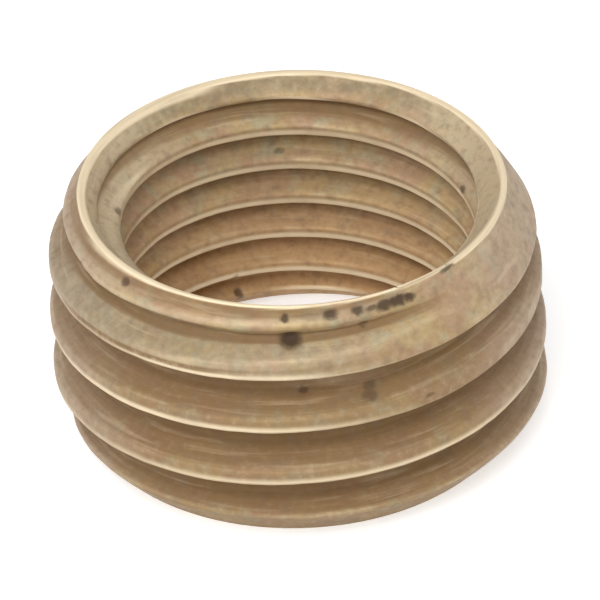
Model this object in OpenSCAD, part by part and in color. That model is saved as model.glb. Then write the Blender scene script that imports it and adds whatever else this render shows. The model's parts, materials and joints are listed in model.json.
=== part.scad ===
// Reducing bushing: a short ring turned from brass bar, threaded outside and inside.
// The outer thread screws into a larger tapped hole, and the inner thread takes a smaller stem.
// Millimetres, +Z up along the ring's axis, origin at the middle of the lower end face.
// Each thread is held as its crest cylinder, which is what a gauge touches. The helical
// grooves between the crests are a surface finish and are cut to the depths worked out here.

/* [Outer thread] */
// Major diameter, over the crests
outer_d = 12; // [12:0.5:24]
// Pitch, which sets how deep the grooves and the end chamfers go
outer_pitch = 1.5; // [0.75:0.25:1.5]

/* [Inner thread] */
// Major diameter, the nominal size of the stem that screws in
inner_d = 9.6; // [5:0.1:9.8]
// Pitch, which sets how far the crests stand in from the major diameter
inner_pitch = 1; // [0.5:0.25:1.5]

/* [Body] */
// Length of the ring from end face to end face
body_h = 6.4; // [5:0.1:20]

/* [Upper end] */
// Height of the long lead-in chamfer on the outside
upper_chamfer_h = 1.45; // [0.4:0.05:2]
// How far the countersink opens past the major diameter of the inner thread, on the radius
upper_countersink_past = 0.17; // [0:0.01:0.2]

/* [Lower end] */
// Height of the chamfer on the outside
lower_chamfer_h = 0.85; // [0.4:0.05:2]
// How far the countersink opens past the major diameter of the inner thread, on the radius
lower_countersink_past = 0.06; // [0:0.01:0.2]

/* [Hidden] */
$fn = 180;
// height of a 60 degree thread's flanks over its pitch, in the basic metric profile
depth_per_pitch = 5 / 8 * sin(60);
outer_crest_r = outer_d / 2;
outer_root_r = outer_crest_r - depth_per_pitch * outer_pitch;
inner_root_r = inner_d / 2;
inner_crest_r = inner_root_r - depth_per_pitch * inner_pitch;
upper_countersink_r = inner_root_r + upper_countersink_past;
lower_countersink_r = inner_root_r + lower_countersink_past;
// the countersinks are cut at 45 degrees, so each is as deep as it is wide
upper_countersink_h = upper_countersink_r - inner_crest_r;
lower_countersink_h = lower_countersink_r - inner_crest_r;

// Half section of the ring: the outside from the lower end up, then the bore back down.
// Both chamfers run in to the root of the outer thread, so its grooves open on them.
module half_section() {
    polygon([
        [outer_root_r, 0],
        [outer_crest_r, lower_chamfer_h],
        [outer_crest_r, body_h - upper_chamfer_h],
        [outer_root_r, body_h],
        [upper_countersink_r, body_h],
        [inner_crest_r, body_h - upper_countersink_h],
        [inner_crest_r, lower_countersink_h],
        [lower_countersink_r, 0]
    ]);
}

module bushing() {
    color("#b3986c")
        rotate_extrude()
            half_section();
}

bushing();
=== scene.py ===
# %% Load the frame
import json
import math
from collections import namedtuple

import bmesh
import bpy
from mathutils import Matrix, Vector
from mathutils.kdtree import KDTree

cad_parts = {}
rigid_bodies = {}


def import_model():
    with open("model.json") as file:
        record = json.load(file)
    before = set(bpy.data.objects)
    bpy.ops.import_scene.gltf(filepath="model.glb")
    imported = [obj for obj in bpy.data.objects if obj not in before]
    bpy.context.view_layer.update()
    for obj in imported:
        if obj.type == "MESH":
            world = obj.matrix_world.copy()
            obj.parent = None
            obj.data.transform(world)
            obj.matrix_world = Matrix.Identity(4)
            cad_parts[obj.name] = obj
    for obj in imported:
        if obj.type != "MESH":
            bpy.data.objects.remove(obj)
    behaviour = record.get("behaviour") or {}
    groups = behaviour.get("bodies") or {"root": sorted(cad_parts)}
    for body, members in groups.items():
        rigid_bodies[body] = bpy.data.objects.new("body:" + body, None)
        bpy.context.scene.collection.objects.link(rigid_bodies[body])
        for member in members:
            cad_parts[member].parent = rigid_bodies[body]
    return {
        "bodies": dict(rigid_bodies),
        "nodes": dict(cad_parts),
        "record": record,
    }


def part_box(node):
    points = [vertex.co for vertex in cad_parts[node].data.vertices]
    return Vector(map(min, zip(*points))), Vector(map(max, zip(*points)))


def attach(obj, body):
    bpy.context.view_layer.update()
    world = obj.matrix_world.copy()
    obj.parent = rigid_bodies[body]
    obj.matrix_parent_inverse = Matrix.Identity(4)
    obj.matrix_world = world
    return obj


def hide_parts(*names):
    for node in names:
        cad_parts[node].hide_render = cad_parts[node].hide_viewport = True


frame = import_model()

# %% [markdown]
# A reducing bushing in aged brass. The real part is a short ring, turned from bar, with a thread
# outside that screws into a large hole and a smaller thread inside that takes a thin stem.
# The CAD model holds the ring at its true size with each thread as a plain cylinder, so this
# lesson makes the ring again, with both threads cut, and lets it stand for the CAD part.
# Everything is worked out from the CAD box and the two mounts, so that it still fits them.
# Blender starts with a cube, a camera and a lamp of its own. They could be hidden, but removing
# all that isn't part of the loaded frame leaves a clean scene to measure and to build in.

kept = set(frame["nodes"].values()) | set(frame["bodies"].values())
for obj in [o for o in bpy.data.objects if o not in kept]:
    bpy.data.objects.remove(obj)
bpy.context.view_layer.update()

# %% [markdown]
# Thread sizes follow from the pitch. A standard thread is cut to 5/8 of the height of the sharp
# triangle that its flanks would make, so each root lies that far from its crest. The crests and
# the height come from the CAD model, and writing them here again could only make them differ.

# %% Sizes in millimetres
MM = 0.001
node_low, node_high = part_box("bushing")
mounts = {m["name"]: m for m in frame["record"]["mounts"]}

height = (node_high.z - node_low.z) / MM
outer_crest = mounts["outer_thread"]["dims"]["r_mm"]
inner_crest = mounts["inner_thread"]["dims"]["r_mm"]
outer_pitch = 1.5
inner_pitch = 1.0
depth_per_pitch = 5 / 8 * math.sin(math.radians(60))
outer_root = outer_crest - depth_per_pitch * outer_pitch
inner_root = inner_crest + depth_per_pitch * inner_pitch
print("ring", round(height, 3), "high, outside", outer_crest, "to", round(outer_root, 3))
print("bore", inner_crest, "to", round(inner_root, 3))

# %% [markdown]
# Blender's edit tools have small limits of their own, near a tenth of a millimetre, that are
# coarse for a part this small. So the ring is modelled at a thousand times its size, with one
# Blender unit for a millimetre, and is brought down to its real size at the very end.
# Three short helpers keep the rest readable. One makes a single object active, one selects points
# or edges by a test on where they are, and one applies a modifier as soon as it is added.

# %% Helpers for editing
def focus(obj):
    """Makes this the only selected object, and the active one."""
    bpy.ops.object.select_all(action="DESELECT")
    obj.select_set(True)
    bpy.context.view_layer.objects.active = obj


def pick(obj, mode, chosen):
    """Selects the vertices or edges that the test chosen accepts, and stays in edit mode."""
    focus(obj)
    bpy.ops.object.mode_set(mode="EDIT")
    bpy.ops.mesh.select_mode(type=mode)
    bpy.ops.mesh.select_all(action="DESELECT")
    bpy.ops.object.mode_set(mode="OBJECT")
    mesh = obj.data
    if mode == "VERT":
        for v in mesh.vertices:
            v.select = chosen(v.co)
    else:
        for e in mesh.edges:
            e.select = chosen(*(mesh.vertices[i].co for i in e.vertices))
    bpy.ops.object.mode_set(mode="EDIT")


def apply_modifier(obj, kind, **settings):
    """Adds a modifier of this kind, gives it its settings, and applies it."""
    focus(obj)
    modifier = obj.modifiers.new(kind.title(), kind)
    for name, value in settings.items():
        setattr(modifier, name, value)
    bpy.ops.object.modifier_apply(modifier=modifier.name)


# %% [markdown]
# A thread is one tooth outline carried round a screw line. It could be a bump map, but then
# the outline of the ring would be smooth, and the grooves would hold no real shade. It could be
# stacked rings too, but rings never meet the next turn. So the tooth is drawn as a line of
# extruded points in the plane of the axis: root flat, flank, crest flat, flank, root flat.
# Its corners are bevelled, because a thread that has been used has no sharp corner left.

# %% Draw a line of points
def draw_line(name, points):
    """Merges a plane to its first point and extrudes the others from it, one by one."""
    bpy.ops.object.select_all(action="DESELECT")
    bpy.ops.mesh.primitive_plane_add(size=1, location=(0, 0, 0))
    obj = bpy.context.object
    obj.name = obj.data.name = name
    bpy.ops.object.mode_set(mode="EDIT")
    bpy.ops.mesh.select_mode(type="VERT")
    bpy.ops.mesh.select_all(action="SELECT")
    bpy.ops.mesh.merge(type="CENTER")
    bpy.ops.transform.translate(value=(points[0][0], 0, points[0][1]))
    for (r0, z0), (r1, z1) in zip(points, points[1:]):
        bpy.ops.mesh.extrude_vertices_move(
            TRANSFORM_OT_translate={"value": (r1 - r0, 0, z1 - z0)})
    bpy.ops.object.mode_set(mode="OBJECT")
    return obj


# %% Shape one tooth
# lengths that differ by less than this count as the same
near = 1e-4


def tooth(name, crest, root, pitch, crest_share, root_share, corners, flank_rows):
    """One pitch of thread, from the middle of a root flat to the middle of the next."""
    crest_flat, root_half = crest_share * pitch, root_share * pitch / 2
    flank = (pitch - crest_flat - 2 * root_half) / 2
    heights = [0, root_half, root_half + flank]
    heights += [pitch - h for h in reversed(heights)]
    radii = [root, root, crest, crest, root, root]
    obj = draw_line(name, list(zip(radii, heights)))

    middle = pitch / 2
    tests = {
        "under crest": lambda co: abs(co.x - crest) < near and co.z < middle,
        "over crest": lambda co: abs(co.x - crest) < near and co.z > middle,
        "root": lambda co: abs(co.x - root) < near and near < co.z < pitch - near,
    }
    for place, (offset, segments) in corners.items():
        pick(obj, "VERT", tests[place])
        bpy.ops.mesh.bevel(offset=offset, segments=segments, affect="VERTICES")
        bpy.ops.object.mode_set(mode="OBJECT")
    # no edge but a flank is as long as this
    pick(obj, "EDGE", lambda a, b: (a - b).length > 0.7 * flank)
    bpy.ops.mesh.subdivide(number_cuts=flank_rows - 1)
    bpy.ops.object.mode_set(mode="OBJECT")
    print(name, "has", len(obj.data.vertices), "points a pitch")
    return obj


# %% Both teeth
outer_crest_share = 0.2
inner_crest_share = 0.25
outer_skin = tooth("outer_skin", outer_crest, outer_root, outer_pitch,
                   outer_crest_share, root_share=0.175, flank_rows=7,
                   corners={"under crest": (0.05, 3), "over crest": (0.1, 3), "root": (0.06, 2)})
inner_skin = tooth("inner_skin", inner_crest, inner_root, inner_pitch,
                   inner_crest_share, root_share=0.125, flank_rows=4,
                   corners={"under crest": (0.04, 2), "over crest": (0.06, 2), "root": (0.03, 2)})

# %% [markdown]
# An Array modifier stacks the tooth to more than the ring's height, and a Screw modifier sweeps
# the stack once round while it climbs by one pitch. The end of each turn then lies on the start
# of the next, and merging the doubles makes one endless groove. Both threads are right-hand.

# %% Sweep both threads
turn_steps = 360
same_point = 0.001
# heights at which the middle of a root passes straight out along +X from the axis
outer_start = 0.18
inner_start = 0.47
outer_first_root = outer_start - 2 * outer_pitch
inner_first_root = inner_start - 2 * inner_pitch


def screw(obj, pitch, first_root):
    """Stacks a tooth from the height of its first root, and sweeps the stack into a thread."""
    turns = math.ceil((height + pitch - first_root) / pitch) + 1
    apply_modifier(obj, "ARRAY", count=turns, use_relative_offset=False,
                   use_constant_offset=True, constant_offset_displace=(0, 0, pitch),
                   use_merge_vertices=True, merge_threshold=same_point)
    bpy.ops.object.mode_set(mode="EDIT")
    bpy.ops.mesh.select_all(action="SELECT")
    bpy.ops.transform.translate(value=(0, 0, first_root))
    bpy.ops.object.mode_set(mode="OBJECT")
    apply_modifier(obj, "SCREW", angle=math.tau, screw_offset=pitch, axis="Z",
                   steps=turn_steps, render_steps=turn_steps, use_merge_vertices=False)
    bpy.ops.object.mode_set(mode="EDIT")
    bpy.ops.mesh.select_all(action="SELECT")
    bpy.ops.mesh.remove_doubles(threshold=same_point)
    bpy.ops.object.mode_set(mode="OBJECT")
    print(obj.name, "swept to", len(obj.data.polygons), "faces")


screw(outer_skin, outer_pitch, outer_first_root)
screw(inner_skin, inner_pitch, inner_first_root)

# %% [markdown]
# Use has rubbed the lower edge of each crest bright, and the bright line is also a painted
# highlight. Painting it by hand would take hours, so how bright each point is, from 0 to 1, is
# worked out and kept in an attribute for the finish to read. It is done now, while the place of a
# point in its tooth follows from its angle and height.

# %% Note the worn and highlit crests
# width of the line along each crest edge that is painted bright, as wear and painted highlight
wear_highlight_line = 0.1


def note_wear_highlight_crests(obj, pitch, first_root, crest_share):
    """Marks a line of wear and painted highlight along the lower edge of each crest, strongest in
    its middle.
    """
    wear_highlight = obj.data.attributes.new("wear_highlight_edge", "FLOAT", "POINT")
    for v, wear_highlight_here in zip(obj.data.vertices, wear_highlight.data):
        turn = math.atan2(v.co.y, v.co.x) / math.tau
        above_root = ((v.co.z - first_root) / pitch - turn) % 1 * pitch
        above_edge = above_root - (1 - crest_share) / 2 * pitch
        wear_highlight_here.value = max(0, 1 - abs(above_edge - wear_highlight_line / 2) / wear_highlight_line)
    print(obj.name, "worn points", sum(w.value > 0 for w in wear_highlight.data))


note_wear_highlight_crests(outer_skin, outer_pitch, outer_first_root, outer_crest_share)
note_wear_highlight_crests(inner_skin, inner_pitch, inner_first_root, inner_crest_share)

# %% [markdown]
# The thread was cut a little out of line with the ends, so both skins are tipped together about
# the middle of the ring. The bore and the upper end lie a few hundredths off the axis as well.
# Two bisects of each skin then face the ends off flat. They stay a little inside the real ends,
# because the rounded rims are drawn on from there. The sizes of the two ends come first.

# %% Sizes of the ends
upper_chamfer = 1.45
lower_chamfer = 1.0
lower_end_r = outer_root - 0.06
upper_mouth = inner_root + 0.21
lower_mouth = inner_root + 0.04
# radius of the round of each rim: -1 is for the lower end, 1 for the upper
rim_rounds = {-1: 0.16, 1: 0.06}
# how far each of these lies off the axis, along X
bore_shift = 0.06
mouth_shift = -0.02
chamfer_shift = -0.09
print("mouth of the bore", round(upper_mouth, 3), "above,", round(lower_mouth, 3), "below")

# %% Helpers for the open ends
cut_gap = 5e-4


def pick_open_edge(obj, z_side):
    """Selects the open edge at the top of a skin (z_side 1) or at its bottom (z_side -1)."""
    focus(obj)
    bpy.ops.object.mode_set(mode="EDIT")
    bpy.ops.mesh.select_mode(type="EDGE")
    bpy.ops.mesh.select_all(action="DESELECT")
    bpy.ops.mesh.select_non_manifold(use_wire=False, use_multi_face=False,
                                     use_non_contiguous=False, use_verts=False)
    mesh = bmesh.from_edit_mesh(obj.data)
    for e in mesh.edges:
        if e.select and z_side * (e.verts[0].co.z - height / 2) < 0:
            e.select_set(False)
    bmesh.update_edit_mesh(obj.data)


def face_off(obj, z, z_side):
    """Cuts a skin off level at a height, and merges points of the cut that fall on each other."""
    pick(obj, "VERT", lambda co: True)
    bpy.ops.mesh.bisect(plane_co=(0, 0, z), plane_no=(0, 0, z_side), clear_outer=True,
                        threshold=1e-6)
    bpy.ops.object.mode_set(mode="OBJECT")
    pick_open_edge(obj, z_side)
    bpy.ops.mesh.remove_doubles(threshold=cut_gap)
    bpy.ops.object.mode_set(mode="OBJECT")


# %% Tip the threads and face the ends
thread_tip = math.radians(0.4)
middle = Matrix.Translation((0, 0, height / 2))
tip = middle @ Matrix.Rotation(thread_tip, 4, "Y") @ middle.inverted()


def end_slopes(outside):
    """Angle of the lower and the upper cone from the ring's axis, outside or inside."""
    if not outside:
        return math.radians(45), math.radians(45)
    lower_wall = outer_crest - lower_end_r
    upper_wall = outer_crest - outer_root
    return math.atan2(lower_wall, lower_chamfer), math.atan2(upper_wall, upper_chamfer)


for skin, outside in ((outer_skin, True), (inner_skin, False)):
    skin.data.transform(tip)
    if not outside:
        skin.data.transform(Matrix.Translation((bore_shift, 0, 0)))
    lower_slope, upper_slope = end_slopes(outside)
    face_off(skin, height - rim_rounds[1] * (1 - math.sin(upper_slope)), 1)
    face_off(skin, rim_rounds[-1] * (1 - math.sin(lower_slope)), -1)
    print(skin.name, "faced off,", len(skin.data.polygons), "faces")

# %% [markdown]
# A lathe tool chamfers and countersinks the ends before the thread is cut, so near each end the
# teeth have cone-shaped tops. A boolean with a turned blank would give that too, but it leaves
# knife edges. Moving each point of the skins radially to where the cone is, with a soft
# minimum, cuts the same cones and rounds the edge between cone and tooth in one step.

# %% The turned blank
def soft_min(a, b, softness):
    """The smaller of two lengths, rounded off where they are nearly alike."""
    return (a + b - math.hypot(a - b, softness)) / 2


def blank_outside(z):
    """Radius of the blank at a height: the lower of the two outside cones."""
    upper = outer_root + (height - z) * (outer_crest - outer_root) / upper_chamfer
    lower = lower_end_r + z * (outer_crest - lower_end_r) / lower_chamfer
    return min(upper, lower)


def blank_inside(z):
    """Radius of the bore of the blank at a height: the wider of the two countersinks."""
    return max(upper_mouth - (height - z), lower_mouth - z)


def smooth_step(value, start, end):
    """Goes smoothly from 0 to 1 as value goes from start to end."""
    t = min(max((value - start) / (end - start), 0), 1)
    return t * t * (3 - 2 * t)


print("blank at the upper end", round(blank_outside(height), 3), round(blank_inside(height), 3))

# %% [markdown]
# The uppermost groove runs out. At the left it is whole, towards the front its upper side is
# filled more and more, and at the right it is gone, where the chamfer runs straight into the
# crest. At the far left the crest under it is rubbed to a flat. Both could be sculpted by hand,
# but a share worked out from the angle and the height gives the same shape every time.

# %% Where the first groove runs out
# angles are in degrees round the axis from +X, and lengths in millimetres
step_appears = (-180, -148)
step_closes = (-140, -95)
groove_ends = (-72, -30)
step_width = 0.22
step_rise = 0.6
step_drop = 0.52
step_close = 0.28
run_out_margin = 0.1


def first_groove(angle):
    """Height of the middle of the uppermost groove."""
    return outer_start + outer_pitch * (math.floor(height / outer_pitch) + angle / 360)


def step_edges(angle):
    """Heights over the middle of the first groove between which its upper side fills up."""
    closing = step_close * smooth_step(angle, *step_closes)
    start = step_rise - step_drop * smooth_step(angle, *step_appears) - closing
    return start, start + step_width + closing


def run_out(angle, z):
    """How far the first groove is filled up: more and more of its upper side, then all of it."""
    above = z - first_groove(angle)
    if above < -outer_pitch / 2 - run_out_margin:
        return 0
    return max(smooth_step(angle, *groove_ends), smooth_step(above, *step_edges(angle)))


print("first groove at the front, height", round(first_groove(-90), 3))

# %% Where the crest is worn flat
flat_middle = 180
flat_fade = (30, 75)
flat_bottom = (4, 4.3)
flat_depth = 0.12


def flat_at(angle, z):
    """How far the uppermost whole crest is worn flat, from 0 to 1."""
    along = abs(angle % 360 - flat_middle)
    return (1 - smooth_step(along, *flat_fade)) * smooth_step(z, *flat_bottom)


print("flat on the left", flat_at(flat_middle, height))

# %% [markdown]
# Two things are noted for the finish as the points are moved: how much of a worn edge each is on,
# which the finish paints bright as wear and painted highlight, and how far down in a groove it
# lies, which the finish paints dark as dirt and painted shade. The darkening spreads over a whole
# groove outside and gathers in the roots of the bore. In the groove that runs out it keeps to a
# narrow line under the crest, and a faint bright line of wear and painted highlight marks where
# the filled part begins.

# %% Dirt and painted shade, wear and painted highlight
edge_wear = 0.06
edge_band = 0.08
# how bright the edges of the cones are painted, as wear and painted highlight: True is for the
# outside, False for the bore
cone_edge_highlight_shares = {True: 0.22, False: 1}
groove_side = (0.04, 0.22)
# how dark the grooves are painted, as dirt and painted shade
outside_dirt_and_shade, outside_root_dirt_and_shade = 0.5, 0.22
bore_dirt_and_shade, first_bore_dirt_and_shade = 0.6, 0.6
first_bore_groove = (5.1, 5.5)
line_starts = (-180, -150)
line_middle = -0.15
line_side = (0.05, 0.17)
ridge_side = (0.03, 0.13)
ridge_wear_highlight = 0.22


def dirt_and_shade_at(share, z, outside):
    """How dark a point is painted, as dirt and painted shade, at a share of the groove's depth.
    """
    if outside:
        return outside_dirt_and_shade + outside_root_dirt_and_shade * share
    return (bore_dirt_and_shade + first_bore_dirt_and_shade * smooth_step(z, *first_bore_groove)) * share


def first_groove_marks(angle, above):
    """Dirt and painted shade, and wear and painted highlight, in the groove that runs out, and
    how far they hold at this angle.
    """
    still_open = 1 - smooth_step(angle, *groove_ends)
    ridge = step_edges(angle)[1]
    in_line = still_open * (1 - smooth_step(abs(above - line_middle), *line_side))
    # the ridge where the filled part begins is painted bright, as wear and painted highlight
    on_ridge_highlight = still_open * (1 - smooth_step(abs(above - ridge), *ridge_side))
    return in_line, ridge_wear_highlight * on_ridge_highlight, smooth_step(angle, *line_starts)


print("dirt in a root outside", dirt_and_shade_at(1, 0, True), "and in the bore", dirt_and_shade_at(1, 0, False))

# %% Chamfer and countersink the ends
shift_starts, shift_ends = 0.3 * height, 0.6 * height


def off_axis(z, outside):
    """How far the axis of the cones is shifted along X at a height."""
    lower, upper = (0, chamfer_shift) if outside else (bore_shift, mouth_shift)
    return lower + (upper - lower) * smooth_step(z, shift_starts, shift_ends)


def turn_down(skin, outside):
    """Cuts a skin to the blank, and notes how bright each point is painted, as wear and painted
    highlight, and how dark, as dirt and painted shade in a groove.
    """
    side = 1 if outside else -1
    blank = blank_outside if outside else blank_inside
    crest, root = (outer_crest, outer_root) if outside else (inner_crest, inner_root)
    wear_highlight = skin.data.attributes["wear_highlight_edge"]
    deep = skin.data.attributes.new("groove_dirt_and_shade", "FLOAT", "POINT")
    for v, wear_highlight_here, deep_here in zip(skin.data.vertices, wear_highlight.data, deep.data):
        shift = off_axis(v.co.z, outside)
        x, y = v.co.x - shift, v.co.y
        r = math.hypot(x, y)
        angle = math.degrees(math.atan2(y, x))
        cone_r = blank(v.co.z)
        # the edges of the cones are painted bright, as wear and painted highlight
        cone_edge_highlight = cone_edge_highlight_shares[outside] * max(0, 1 - abs(r - cone_r) / edge_band)
        if outside:
            cone_r = min(cone_r, outer_crest - flat_depth * flat_at(angle, v.co.z))
        fill = run_out(angle, v.co.z) if outside else 0
        filled_r = r + fill * max(0, min(cone_r, crest) - r)
        cut_r = side * soft_min(side * filled_r, side * cone_r, edge_wear)
        # the lower edge of each crest is painted bright, as wear and painted highlight
        crest_wear_highlight = wear_highlight_here.value * max(0, 1 - abs(cut_r - r) / edge_wear)
        wear_highlight_here.value = max(crest_wear_highlight, cone_edge_highlight) * (1 - fill)
        below = min(side * crest, side * cone_r) - side * cut_r
        share = min(max((crest - cut_r) / (crest - root), 0), 1)
        # the deeper in a groove, the darker it is painted, as dirt and painted shade
        deep_here.value = dirt_and_shade_at(share, v.co.z, outside) * smooth_step(below, *groove_side)
        above = v.co.z - first_groove(angle)
        if outside and above > -outer_pitch / 2:
            line_dirt_and_shade, line_wear_highlight, holds = first_groove_marks(angle, above)
            # in the groove that runs out the darkening keeps to a narrow line, as dirt and
            # painted shade
            deep_here.value += (line_dirt_and_shade - deep_here.value) * holds
            wear_highlight_here.value = max(wear_highlight_here.value, line_wear_highlight * holds)
        v.co.x, v.co.y = x * cut_r / r + shift, y * cut_r / r


turn_down(outer_skin, True)
turn_down(inner_skin, False)
print("outside", round(max(math.hypot(v.co.x, v.co.y) for v in outer_skin.data.vertices), 3))
print("bore", round(min(math.hypot(v.co.x, v.co.y) for v in inner_skin.data.vertices), 3))

# %% [markdown]
# Each rim is now an open edge on both skins. It is extruded in small steps, each a little
# higher and a little further in, which turns the edge over like a fillet. A bevel would do for
# a clean cylinder, but here the edge crosses the threads, and a bevel would tangle on them.

# %% Turn the rims over
round_steps = 3


def turn_over(obj, z_side, slope, outside):
    """Extrudes one open edge of a skin over a quarter round, from the cone's slope to level."""
    pick_open_edge(obj, z_side)
    edge = [v for v in bmesh.from_edit_mesh(obj.data).verts if v.select]
    radius = sum(math.hypot(v.co.x, v.co.y) for v in edge) / len(edge)
    inward = -1 if outside else 1
    rim_round = rim_rounds[z_side]
    before = slope
    for step in range(1, round_steps + 1):
        after = slope + (math.pi / 2 - slope) * step / round_steps
        rise = rim_round * (math.sin(after) - math.sin(before))
        run = inward * rim_round * (math.cos(before) - math.cos(after))
        bpy.ops.mesh.extrude_region_move(
            TRANSFORM_OT_translate={"value": (0, 0, z_side * rise)})
        share = (radius + run) / radius
        bpy.ops.transform.resize(value=(share, share, 1), center_override=(0, 0, 0))
        radius += run
        before = after
    bpy.ops.object.mode_set(mode="OBJECT")
    print(obj.name, "edge turned over to", round(radius, 3))


for skin, outside in ((outer_skin, True), (inner_skin, False)):
    for z_side, slope in zip((-1, 1), end_slopes(outside)):
        turn_over(skin, z_side, slope, outside)

# %% [markdown]
# The gap left between the two skins at each end is the flat of the rim. A bridge wants two edges
# that match point for point, and these don't, because each thread meets the end in its own way.
# Fill lays flat triangles between them instead. Doubles are merged and normals are recalculated
# after that, and the count of open edges has to be nought.

# %% Join the skins and close the rims
focus(outer_skin)
inner_skin.select_set(True)
bpy.ops.object.join()
ring = outer_skin
ring.name = ring.data.name = "brass_bushing"
for z_side in (-1, 1):
    pick_open_edge(ring, z_side)
    bpy.ops.mesh.fill(use_beauty=True)
    bpy.ops.object.mode_set(mode="OBJECT")
bpy.ops.object.mode_set(mode="EDIT")
bpy.ops.mesh.select_all(action="SELECT")
bpy.ops.mesh.remove_doubles(threshold=1e-5)
bpy.ops.mesh.normals_make_consistent(inside=False)
bpy.ops.mesh.select_all(action="DESELECT")
bpy.ops.mesh.select_non_manifold()
bpy.ops.object.mode_set(mode="OBJECT")
print("open or doubled edges:", sum(e.select for e in ring.data.edges))
ring.data.calc_loop_triangles()
print("triangles:", len(ring.data.loop_triangles))

# %% [markdown]
# The brass isn't perfectly even: wrenches and years have left the crests a little wavy. A
# Displace modifier with a clouds texture moves the sides by hundredths of a millimetre. The end
# faces stay flat, because the ring stands on them, so a vertex group leaves them out.

# %% Make the sides a little uneven
unevenness = 0.035
end_margin = 0.12
pick(ring, "VERT", lambda co: end_margin < co.z < height - end_margin)
bpy.ops.object.vertex_group_assign_new()
bpy.ops.object.mode_set(mode="OBJECT")
ring.vertex_groups.active.name = "sides"
clouds = bpy.data.textures.new("wavy", "CLOUDS")
clouds.noise_scale = 1.1
clouds.noise_depth = 2
apply_modifier(ring, "DISPLACE", texture=clouds, texture_coords="LOCAL", strength=unevenness,
               mid_level=0.5, vertex_group="sides")
ring.vertex_groups.clear()
bpy.data.textures.remove(clouds)

# %% [markdown]
# Under the upper rim the lead-in chamfer is dished by a shallow hollow. It runs from the left of
# the ring past the front, and fades out on the right. It is pressed in by moving the points of
# that band towards the axis, by a step across its height times a fade along its length. It is
# painted darker too, up to the rounded rim, as dirt and painted shade.

# %% Press in the hollow under the rim
hollow_depth = 0.12
hollow_bottom = height - 0.38
hollow_side = 0.13
hollow_middle = -125
hollow_fade = (45, 100)
hollow_dirt_and_shade = 0.75
unshaded_rim = (0.02, 0.08)
bore_margin = 0.1


def hollow_at(angle, z):
    """How deep the hollow is, from 0 to 1."""
    along = abs((angle - hollow_middle + 180) % 360 - 180)
    across = smooth_step(z, hollow_bottom, hollow_bottom + hollow_side)
    return across * (1 - smooth_step(along, *hollow_fade))


deep = ring.data.attributes["groove_dirt_and_shade"]
for v, deep_here in zip(ring.data.vertices, deep.data):
    r = math.hypot(v.co.x, v.co.y)
    if r > upper_mouth + bore_margin and v.co.z > hollow_bottom:
        hollow = hollow_at(math.degrees(math.atan2(v.co.y, v.co.x)), v.co.z)
        share = 1 - hollow_depth * hollow / r
        v.co.x, v.co.y = v.co.x * share, v.co.y * share
        below_rim = smooth_step(height - v.co.z, *unshaded_rim)
        # the hollow is painted darker, as dirt and painted shade
        deep_here.value = max(deep_here.value, hollow_dirt_and_shade * hollow * below_rim)
print("hollow at the front", round(hollow_at(-90, height), 2))

# %% [markdown]
# The pits are knocks and spots of corrosion. Each is placed by its angle round the axis from +X,
# its height and the side of the ring it is on, and has a width, a height, a depth and a darkness.
# The points near each are pressed in along their normals, and the finish later darkens the same
# places. A boolean with small balls would cut deeper than these are, and leave sharp edges.

# %% List the pits
Pit = namedtuple("Pit", "angle z outside wide tall depth darkness")
pits = [Pit(*row) for row in (
    (-92.4, 5.6, True, 0.56, 0.4, 0.07, 1.0),
    (-93.8, 6.15, True, 0.26, 0.24, 0.03, 0.9),
    (-81.8, 6.16, True, 0.4, 0.26, 0.04, 0.9),
    (-87.5, 6.16, True, 0.9, 0.14, 0.01, 0.3),
    (-74.5, 6.15, True, 0.36, 0.22, 0.04, 0.85),
    (-70.5, 6.13, True, 0.4, 0.14, 0.03, 0.7),
    (-66.8, 6.12, True, 0.6, 0.26, 0.05, 0.9),
    (-63.3, 6.12, True, 0.6, 0.28, 0.06, 0.95),
    (-59.7, 6.11, True, 0.4, 0.24, 0.05, 0.95),
    (-46, 6.33, True, 0.5, 0.12, 0.03, 0.7),
    (-73.3, 5.77, True, 0.26, 0.18, 0.03, 0.5),
    (-89.7, 4.13, True, 0.26, 0.2, 0.03, 0.6),
    (-72.8, 4.1, True, 0.36, 0.26, 0.02, 0.5),
    (-73.6, 3.98, True, 0.44, 0.26, 0.02, 0.5),
    (-59.2, 3.72, True, 0.26, 0.14, 0.02, 0.5),
    (-140.5, 6.15, True, 0.3, 0.22, 0.03, 0.75),
    (111, 1.1, False, 0.26, 0.5, 0.03, 0.8),
    (109, 0.55, False, 0.26, 0.6, 0.03, 0.8),
    (20.5, 5.1, False, 0.3, 0.2, 0.02, 0.7),
    (173.5, 5.6, False, 0.34, 0.26, 0.02, 0.6),
    (94, 4.5, False, 0.3, 0.12, 0.02, 0.5),
)]
print("pits", len(pits))


# %% Press in the pits
pit_floor = 0.3
pit_reach = 1.4


def surface_point(angle, z, outside):
    """The point of the ring at an angle and a height, on its outside or in its bore."""
    outward = Vector((math.cos(math.radians(angle)), math.sin(math.radians(angle)), 0))
    start = outward * (2 * outer_crest if outside else 0) + Vector((0, 0, z))
    return ring.ray_cast(start, -outward if outside else outward)[1]


nearby = KDTree(len(ring.data.vertices))
for v in ring.data.vertices:
    nearby.insert(v.co, v.index)
nearby.balance()
pit_centres = [surface_point(pit.angle, pit.z, pit.outside) for pit in pits]
for centre, pit in zip(pit_centres, pits):
    for co, index, _ in nearby.find_range(centre, pit_reach * max(pit.wide, pit.tall) / 2):
        offset = co - centre
        far = math.hypot(2 * math.hypot(offset.x, offset.y) / pit.wide, 2 * offset.z / pit.tall)
        v = ring.data.vertices[index]
        v.co -= v.normal * pit.depth * (1 - smooth_step(far, pit_floor, pit_reach))
print("highest pit at", round(max(centre.z for centre in pit_centres), 2))

# %% [markdown]
# The two rims take the most knocks, so the brass is painted bright there too, as wear and painted
# highlight. Raising the attribute that the crests already have means that the finish needs no
# second rule for the rims.

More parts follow.
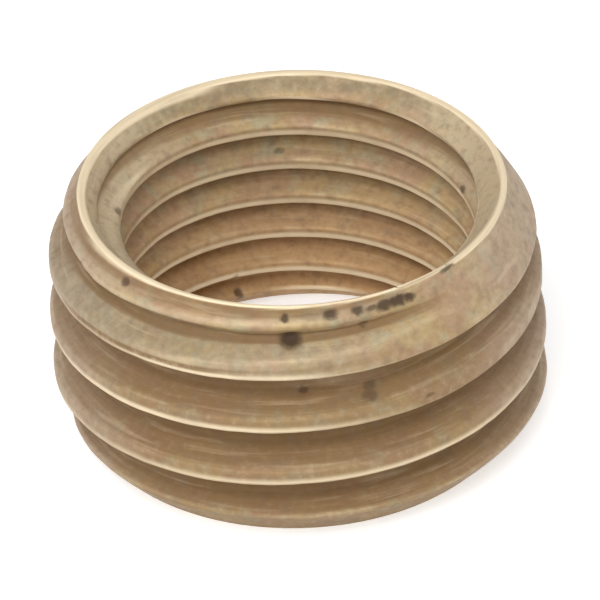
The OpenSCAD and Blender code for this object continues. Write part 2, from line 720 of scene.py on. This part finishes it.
# %% Mark the rounded rims as worn and highlit
rim_wear_highlight = (0.01, 0.06)
wear_highlight = ring.data.attributes["wear_highlight_edge"]
for v, wear_highlight_here in zip(ring.data.vertices, wear_highlight.data):
    rim_gap = min(v.co.z, height - v.co.z)
    # the rims are painted bright, as wear and painted highlight
    wear_highlight_here.value = max(wear_highlight_here.value, 1 - smooth_step(rim_gap, *rim_wear_highlight))
print("worn points", sum(w.value > 0.5 for w in wear_highlight.data))

# %% [markdown]
# The ring is brought down from millimetres to metres about the origin, and the size is applied,
# so that the object itself stays unscaled. It is shaded smooth all over, because every edge
# is already rounded in the mesh. It then rides on the body and stands for the CAD ring.

# %% Bring the ring to its real size
focus(ring)
bpy.ops.transform.resize(value=(MM, MM, MM), center_override=(0, 0, 0))
bpy.ops.object.transform_apply(location=True, rotation=True, scale=True)
bpy.ops.object.shade_smooth()
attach(ring, "root")
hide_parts("bushing")
print("size in mm", [round(side / MM, 3) for side in ring.dimensions])

# %% [markdown]
# The camera looks at the front from about 34 degrees above the floor, turned very slightly about
# its own line of sight. It stands far off with a long lens, so that the round ends stay nearly
# true ellipses. Three vectors at right angles make its matrix, which is plainer than turning it
# by three angles one after another.

# %% Camera
elevation = math.radians(34.2)
roll = math.radians(2.5)
view_width = 14.475 * MM
distance = 0.25
aim = Vector((0.04, 0, 3.12)) * MM

camera_data = bpy.data.cameras.new("camera")
camera = bpy.data.objects.new("camera", camera_data)
bpy.context.scene.collection.objects.link(camera)
bpy.context.scene.camera = camera
up = Vector((0, math.sin(elevation), math.cos(elevation)))
side = Vector((1, 0, 0))
right = side * math.cos(roll) - up * math.sin(roll)
above = side * math.sin(roll) + up * math.cos(roll)
back = right.cross(above)
camera.matrix_world = Matrix((
    (right.x, above.x, back.x, aim.x + back.x * distance),
    (right.y, above.y, back.y, aim.y + back.y * distance),
    (right.z, above.z, back.z, aim.z + back.z * distance),
    (0, 0, 0, 1)))
camera_data.lens = camera_data.sensor_width * distance / view_width
camera_data.clip_start = 0.01
camera_data.clip_end = 10
print("lens", round(camera_data.lens))

# %% [markdown]
# A material is a tree of nodes. Each helper adds one kind of node and gives back its output, so a
# chain of nodes reads like a sum. An input may be a plain value or another node's output. Linking
# by hand in the Shader Editor gives the same tree, but can't be read or run again.

# %% Node helpers
def new_material(name):
    """Makes a material with an empty tree of nodes."""
    material = bpy.data.materials.new(name)
    material.use_nodes = True
    material.node_tree.nodes.clear()
    return material


def add(tree, kind, inputs=None, **settings):
    """Adds a node, gives it its settings, and fills or links its inputs."""
    node = tree.nodes.new(kind)
    for name, value in settings.items():
        setattr(node, name, value)
    for key, value in (inputs or {}).items():
        if isinstance(value, bpy.types.NodeSocket):
            tree.links.new(value, node.inputs[key])
        else:
            node.inputs[key].default_value = value
    return node


def maths(tree, operation, a, b=0.0):
    return add(tree, "ShaderNodeMath", {0: a, 1: b}, operation=operation).outputs[0]


def times(tree, first, *others):
    for other in others:
        first = maths(tree, "MULTIPLY", first, other)
    return first


def vector_maths(tree, operation, a, b=None, scale=None):
    inputs = {0: a}
    if b is not None:
        inputs[1] = b
    if scale is not None:
        inputs["Scale"] = scale
    node = add(tree, "ShaderNodeVectorMath", inputs, operation=operation)
    return node.outputs["Value" if operation in ("LENGTH", "DISTANCE") else "Vector"]


# %% Node helpers for patterns and colours
def between(tree, value, start, end, low=0.0, high=1.0):
    """Goes smoothly from low to high as value goes from start to end."""
    inputs = {"Value": value, "From Min": start, "From Max": end, "To Min": low, "To Max": high}
    return add(tree, "ShaderNodeMapRange", inputs, interpolation_type="SMOOTHSTEP").outputs[0]


def blend(tree, factor, under, over):
    """Lays one colour over another, by a factor from 0 to 1."""
    node = add(tree, "ShaderNodeMix", {"Factor": factor}, data_type="RGBA")
    for socket, colour in ((node.inputs[6], under), (node.inputs[7], over)):
        if isinstance(colour, bpy.types.NodeSocket):
            tree.links.new(colour, socket)
        else:
            socket.default_value = (*colour, 1)
    return node.outputs[2]


def noise(tree, vector, scale, detail=2.0, w=None, distortion=0.0, roughness=0.5):
    inputs = {"Vector": vector, "Scale": scale, "Detail": detail, "Distortion": distortion,
              "Roughness": roughness}
    if w is not None:
        inputs["W"] = w
    kind = "3D" if w is None else "4D"
    return add(tree, "ShaderNodeTexNoise", inputs, noise_dimensions=kind).outputs["Fac"]


# %% [markdown]
# The finish of aged brass depends on place: worn on the edges, where highlights are painted too,
# brown in the grooves with dirt and painted shade, and more orange down in the bore, where bounce
# light is painted. So it starts by working out where each point is: in millimetres, how far from
# the axis, in which direction round it, and what the two attributes of the mesh say. All of it
# comes from Object coordinates, so that the finish stays put when the ring moves.

# %% Aged brass: where things are
brass = new_material("aged_brass")
tree = brass.node_tree
objects = add(tree, "ShaderNodeTexCoord").outputs["Object"]
place = vector_maths(tree, "SCALE", objects, scale=1 / MM)
flat = vector_maths(tree, "MULTIPLY", place, (1, 1, 0))
radius = vector_maths(tree, "LENGTH", flat)
around = vector_maths(tree, "NORMALIZE", flat)
parts = add(tree, "ShaderNodeSeparateXYZ", {0: place})
level_z = parts.outputs["Z"]
angle = maths(tree, "ARCTAN2", parts.outputs["Y"], parts.outputs["X"])
heading = add(tree, "ShaderNodeSeparateXYZ", {0: around})
sideways = maths(tree, "ABSOLUTE", heading.outputs["X"])
deep = add(tree, "ShaderNodeAttribute", attribute_name="groove_dirt_and_shade").outputs["Fac"]
wear_highlight_edge = add(tree, "ShaderNodeAttribute", attribute_name="wear_highlight_edge").outputs["Fac"]

# the mouth of the bore parts the outside from the inside
wall_blur = 0.03
inside = between(tree, radius, upper_mouth + wall_blur, upper_mouth - wall_blur)
on_outside = maths(tree, "SUBTRACT", 1.0, inside)
print("nodes for places", len(tree.nodes))

# %% [markdown]
# The pattern itself comes from six noises. The streaks follow the turning, so they are drawn on a
# space that is wrapped round the axis. The rest are even in all directions: broad patches,
# mottling, greenish spots, flecks, and a fine grain for the bump. An image would need unwrapping
# and would blur close up, and noise does neither.

# %% Aged brass: streaks, patches and mottling
# how fast the streaks change round the axis, up it and away from it
streaks_round, streaks_up, streaks_out = 2.6, 0.9, 9.0
turned = vector_maths(tree, "MULTIPLY", around, (streaks_round, streaks_round, 1))
lift_z = add(tree, "ShaderNodeCombineXYZ", {"Z": times(tree, level_z, streaks_up)}).outputs[0]
turned = vector_maths(tree, "ADD", turned, lift_z)
streaks = noise(tree, turned, 1.0, detail=3.0, w=times(tree, radius, streaks_out))
patches = noise(tree, place, 0.75, detail=2.0)
mottle = noise(tree, place, 3.2, detail=3.0, roughness=0.6)
green_spots = noise(tree, place, 1.9, detail=3.0, distortion=0.5)
flecks = noise(tree, place, 5.0, detail=2.0, roughness=0.6)
grain = noise(tree, place, 22.0, detail=3.0, roughness=0.65)
print("nodes with patterns", len(tree.nodes))

# %% [markdown]
# Old brass goes from tan to pink and grey-green as its oxide film changes in thickness. The
# colours are laid one over another, as a painter would, from the broadest to the smallest. The
# first layers are the two tans, the green spots, the browner lower outside, and the lighter, more
# orange lower bore, which is painted bounce light.

# %% Aged brass: ground colours
tan = (0.48, 0.345, 0.175)
pink_tan = (0.44, 0.29, 0.17)
grey_green = (0.42, 0.37, 0.235)
groove_brown_and_shade = (0.235, 0.135, 0.055)
orange_bounce_brown = (0.56, 0.35, 0.17)

colour = blend(tree, between(tree, patches, 0.42, 0.6), tan, pink_tan)
colour = blend(tree, between(tree, green_spots, 0.5, 0.66, 0.0, 0.7), colour, grey_green)
low_down = times(tree, on_outside, between(tree, level_z, 5.1, 3.9, 0.0, 0.5))
colour = blend(tree, low_down, colour, groove_brown_and_shade)
# the lower bore is painted lighter and more orange, as painted bounce light
orange_bounce = times(tree, inside, between(tree, level_z, 4.8, 1.0, 0.0, 0.9))
colour = blend(tree, orange_bounce, colour, orange_bounce_brown)

# %% [markdown]
# Some places have a tint of their own, and two are painted lighter as painted light. The back of
# the mouth is a dull olive, the sides of the bore are painted paler as painted light, the far
# left and right of the outside, as the camera sees them, are painted paler and pinker as painted
# light, and the crest under the groove that runs out is greyer. Each is a mask made of a few
# ranges multiplied together.

# %% Aged brass: tints and painted light of single places
dull_olive = (0.31, 0.25, 0.15)
pale_light_tan = (0.6, 0.49, 0.33)
limb_light_pink = (0.5, 0.39, 0.3)
crest_grey = (0.34, 0.295, 0.195)

at_back = between(tree, heading.outputs["Y"], 0.3, 0.8)
mouth = times(tree, inside, between(tree, level_z, 5.95, 6.2, 0.0, 0.9), at_back,
              between(tree, mottle, 0.3, 0.6, 0.5, 1.0))
colour = blend(tree, mouth, colour, dull_olive)
# the sides of the bore are painted paler, as painted light
pale_light = times(tree, inside, between(tree, level_z, 4.6, 5.6, 0.0, 0.7),
             between(tree, sideways, 0.5, 0.9))
colour = blend(tree, pale_light, colour, pale_light_tan)
# the left and right edges of the outside, as the camera sees them, are painted paler and pinker,
# as painted light
limb_light = times(tree, on_outside, between(tree, sideways, 0.6, 0.97, 0.0, 0.6))
colour = blend(tree, limb_light, colour, limb_light_pink)
first_crest = times(tree, between(tree, level_z, 4.6, 5.0), between(tree, level_z, 5.9, 5.6),
                    between(tree, angle, math.radians(-60), math.radians(-95), 0.0, 0.55),
                    on_outside, between(tree, mottle, 0.3, 0.55, 0.4, 1.0))
colour = blend(tree, first_crest, colour, crest_grey)
print("nodes with ground colours", len(tree.nodes))

# %% [markdown]
# Dirt and painted shade darken the grooves, and dirt lies along the streaks, hiding the flecks
# under it. So the flecks are laid first, then the darkening, then purplish mottling and a little
# wiped-off sheen. In the bore the darkening is weaker than outside, apart from its right wall and
# its first groove, where more painted shade is laid.

# %% Aged brass: flecks, dirt and painted shade
purple_grey = (0.27, 0.185, 0.125)
wear_highlight_cream = (0.9, 0.75, 0.52)

colour = blend(tree, between(tree, flecks, 0.52, 0.3, 0.0, 0.22), colour, groove_brown_and_shade)
colour = blend(tree, between(tree, flecks, 0.5, 0.72, 0.0, 0.22), colour, pale_light_tan)
streaky = times(tree, maths(tree, "SUBTRACT", streaks, 0.5), 0.6)
# the grooves are painted dark, as dirt and painted shade
dirt_and_shade = between(tree, maths(tree, "ADD", deep, streaky), 0.25, 0.9, 0.0, 0.8)
# painted shade: the bore's grooves are darkened most on its right wall and in its first groove
bore_shade_share = maths(tree, "MAXIMUM", between(tree, heading.outputs["X"], 0.0, 0.85, 0.1, 0.9),
                between(tree, level_z, *first_bore_groove, 0.0, 0.9))
dirt_and_shade = times(tree, dirt_and_shade, maths(tree, "ADD", on_outside, times(tree, inside, bore_shade_share)))
colour = blend(tree, dirt_and_shade, colour, groove_brown_and_shade)
colour = blend(tree, between(tree, mottle, 0.5, 0.75, 0.0, 0.45), colour, purple_grey)
colour = blend(tree, between(tree, streaks, 0.46, 0.3, 0.0, 0.15), colour, wear_highlight_cream)

# %% [markdown]
# Worn edges show bare metal, which is a pale cream, and the same cream lays a painted highlight
# along them. Handling is uneven, so the streaks break the lines up. The lines are painted
# strongest where they face the camera, on the front of the outside and the back wall of the bore,
# and on the right wall of the bore and the upper rim, as painted highlight.

# %% Aged brass: worn edges and painted highlights
towards = maths(tree, "SUBTRACT", times(tree, inside, 2.0), 1.0)
# painted highlight: worn edges are brightest where they face the camera
facing_camera = between(tree, times(tree, heading.outputs["Y"], towards), -0.1, 0.75, 0.2, 0.9)
rim_highlight_band = between(tree, level_z, 6.3, 6.38)
bore_right_highlight = times(tree, inside, between(tree, heading.outputs["X"], 0.3, 0.7))
highlit_places = maths(tree, "MAXIMUM", maths(tree, "MAXIMUM", facing_camera, rim_highlight_band), bore_right_highlight)
bare_and_highlit = between(tree, wear_highlight_edge, 0.0, 0.65)
# worn edges are painted cream, as wear and painted highlight
rubbed_and_highlit = times(tree, bare_and_highlit, between(tree, streaks, 0.32, 0.56, 0.7, 1.0), highlit_places)
colour = blend(tree, rubbed_and_highlit, colour, wear_highlight_cream)

# %% [markdown]
# Two marks are this ring's own: a thin dark scratch that runs along the uppermost crest from the
# left, and a purplish stain on the left wall of the bore. The scratch follows the same screw line
# as the thread, so its height rises with the angle. The stain is a soft ball round a point.

# %% Aged brass: a scratch and a stain
scratch_turns = 3.52
scratch_starts = (math.radians(-165), math.radians(-150))
scratch_fades = (math.radians(-120), math.radians(-95))
scratch_ends = (math.radians(-80), math.radians(-60))
stain_place = (-4.3, -0.9, 2.6)

climb = times(tree, angle, outer_pitch / math.tau)
line_z = maths(tree, "ADD", climb, outer_start + outer_pitch * scratch_turns)
off_line = maths(tree, "ABSOLUTE", maths(tree, "SUBTRACT", level_z, line_z))
scratch = times(tree, between(tree, off_line, 0.1, 0.03), on_outside,
                between(tree, angle, *scratch_starts),
                between(tree, angle, *scratch_fades, 1.0, 0.3),
                between(tree, angle, *scratch_ends, 1.0, 0.0),
                between(tree, mottle, 0.3, 0.55, 0.5, 0.9))
colour = blend(tree, scratch, colour, groove_brown_and_shade)
stain_gap = vector_maths(tree, "DISTANCE", place, stain_place)
stain = times(tree, between(tree, stain_gap, 2.0, 0.5, 0.0, 0.7), inside)
colour = blend(tree, stain, colour, purple_grey)

# %% [markdown]
# The pits are dark, because dirt stays in them. Each one is a soft ball, flattened to the size
# it was pressed in with. A coarse noise shifts the places a little first, so that the edges of
# the pits come out ragged and near ones run together.

# %% Aged brass: pits
pit_brown = (0.085, 0.052, 0.03)
raggedness = 0.12
pit_edge = (1.25, 0.5)

coarse = add(tree, "ShaderNodeTexNoise", {"Vector": place, "Scale": 6.0, "Detail": 2.0})
wobble = vector_maths(tree, "SUBTRACT", coarse.outputs["Color"], (0.5, 0.5, 0.5))
loose = vector_maths(tree, "ADD", place, vector_maths(tree, "SCALE", wobble, scale=raggedness))
pitted = 0.0
for centre, pit in zip(pit_centres, pits):
    offset = vector_maths(tree, "SUBTRACT", loose, tuple(centre))
    scaled = vector_maths(tree, "MULTIPLY", offset, (2 / pit.wide, 2 / pit.wide, 2 / pit.tall))
    far = vector_maths(tree, "LENGTH", scaled)
    pitted = maths(tree, "MAXIMUM", pitted, between(tree, far, *pit_edge, 0.0, pit.darkness))
colour = blend(tree, pitted, colour, pit_brown)
print("nodes with pits", len(tree.nodes))

# %% [markdown]
# The oxide film is dull, so the brass is only partly metal to the shader, and fairly rough, and
# where the grooves are painted dark with dirt and painted shade it is rougher and less metal
# still.
# Grain and streaks raise a bump of hundredths of a millimetre. Full metal would be truer to clean
# brass, but it would lose these soft colours.

# %% Aged brass: shader
bump_height = 0.02 * MM
rough = between(tree, mottle, 0.3, 0.7, 0.54, 0.66)
rough = maths(tree, "ADD", rough, times(tree, dirt_and_shade, 0.12))
metal = between(tree, dirt_and_shade, 0.0, 0.8, 0.4, 0.3)
relief = maths(tree, "ADD", times(tree, grain, 0.6), streaks)
bump = add(tree, "ShaderNodeBump", {"Strength": 0.6, "Distance": bump_height, "Height": relief})
skin_shader = add(tree, "ShaderNodeBsdfPrincipled", {
    "Base Color": colour, "Roughness": rough, "Metallic": metal,
    "Normal": bump.outputs[0], "Specular IOR Level": 0.3})
add(tree, "ShaderNodeOutputMaterial", {"Surface": skin_shader.outputs[0]})
ring.data.materials.clear()
ring.data.materials.append(brass)
print("nodes in aged brass", len(tree.nodes))

# %% [markdown]
# The ring stands on white paper. A matt white alone would look grey where the lamps are dim, and
# stronger lamps would burn out the brass. So the paper also glows a little, but only to the
# camera and in reflections, which keeps the ring's shadow and adds no light to the ring.

# %% Floor
paper_glow = 0.45
paper_white = (0.8, 0.8, 0.8, 1)

bpy.ops.object.select_all(action="DESELECT")
bpy.ops.mesh.primitive_plane_add(size=2, location=(0, 0, 0))
floor = bpy.context.object
floor.name = floor.data.name = "floor"
paper = new_material("white_paper")
tree = paper.node_tree
path = add(tree, "ShaderNodeLightPath").outputs
seen = maths(tree, "MAXIMUM", path["Is Camera Ray"], path["Is Glossy Ray"])
seen = maths(tree, "MAXIMUM", seen, path["Is Transmission Ray"])
matt = add(tree, "ShaderNodeBsdfDiffuse", {"Color": paper_white})
glow = add(tree, "ShaderNodeEmission", {"Color": (1, 1, 1, 1),
                                        "Strength": times(tree, seen, paper_glow)})
both = add(tree, "ShaderNodeAddShader", {0: matt.outputs[0], 1: glow.outputs[0]})
add(tree, "ShaderNodeOutputMaterial", {"Surface": both.outputs[0]})
floor.data.materials.append(paper)
print("floor", tuple(floor.dimensions))

# %% [markdown]
# The world is the soft fill: a pale dome, nearly twice as bright overhead as at the horizon, so
# that the undersides of the threads stay darker than their tops. The camera sees plain white.

# %% World
horizon_level, overhead_level = 0.36, 0.68
world = bpy.data.worlds.new("studio")
bpy.context.scene.world = world
world.use_nodes = True
tree = world.node_tree
tree.nodes.clear()
path = add(tree, "ShaderNodeLightPath").outputs
coords = add(tree, "ShaderNodeTexCoord")
direction = add(tree, "ShaderNodeSeparateXYZ", {0: coords.outputs["Generated"]})
overhead = add(tree, "ShaderNodeMapRange", {
    "Value": direction.outputs["Z"], "From Min": 0, "From Max": 1,
    "To Min": horizon_level, "To Max": overhead_level})
level = add(tree, "ShaderNodeMix", {
    "Factor": path["Is Camera Ray"], "A": overhead.outputs[0], "B": 1.0}, data_type="FLOAT")
sky = add(tree, "ShaderNodeBackground", {"Color": (1, 1, 1, 1), "Strength": level.outputs[0]})
add(tree, "ShaderNodeOutputWorld", {"Surface": sky.outputs[0]})
print("world nodes", len(tree.nodes))

# %% [markdown]
# Three round soft boxes light the ring. The key stands in front and high up, so that it reaches
# down the bore and shades the undersides of the crests, and a weaker one on each side opens up
# the shadows. Each stands about forty centimetres off and looks at the ring.

# %% Lamps
def soft_box(name, place, size, power):
    """A round lamp that looks at the ring from a place in metres."""
    data = bpy.data.lights.new(name, "AREA")
    data.shape = "DISK"
    data.size = size
    data.energy = power
    lamp = bpy.data.objects.new(name, data)
    bpy.context.scene.collection.objects.link(lamp)
    lamp.location = place
    lamp.rotation_mode = "QUATERNION"
    lamp.rotation_quaternion = Vector(place).to_track_quat("Z", "Y")
    print(name, "at", round(Vector(place).length, 3), "m")


soft_box("key", place=(-0.06, -0.26, 0.27), size=0.2, power=0.74)
soft_box("left", place=(-0.34, -0.04, 0.2), size=0.2, power=0.35)
soft_box("right", place=(0.34, -0.04, 0.2), size=0.2, power=0.25)

# %% [markdown]
# Standard keeps a colour as it is written, where the other view transforms would bend it.

# %% Finish
bpy.context.scene.view_settings.view_transform = "Standard"
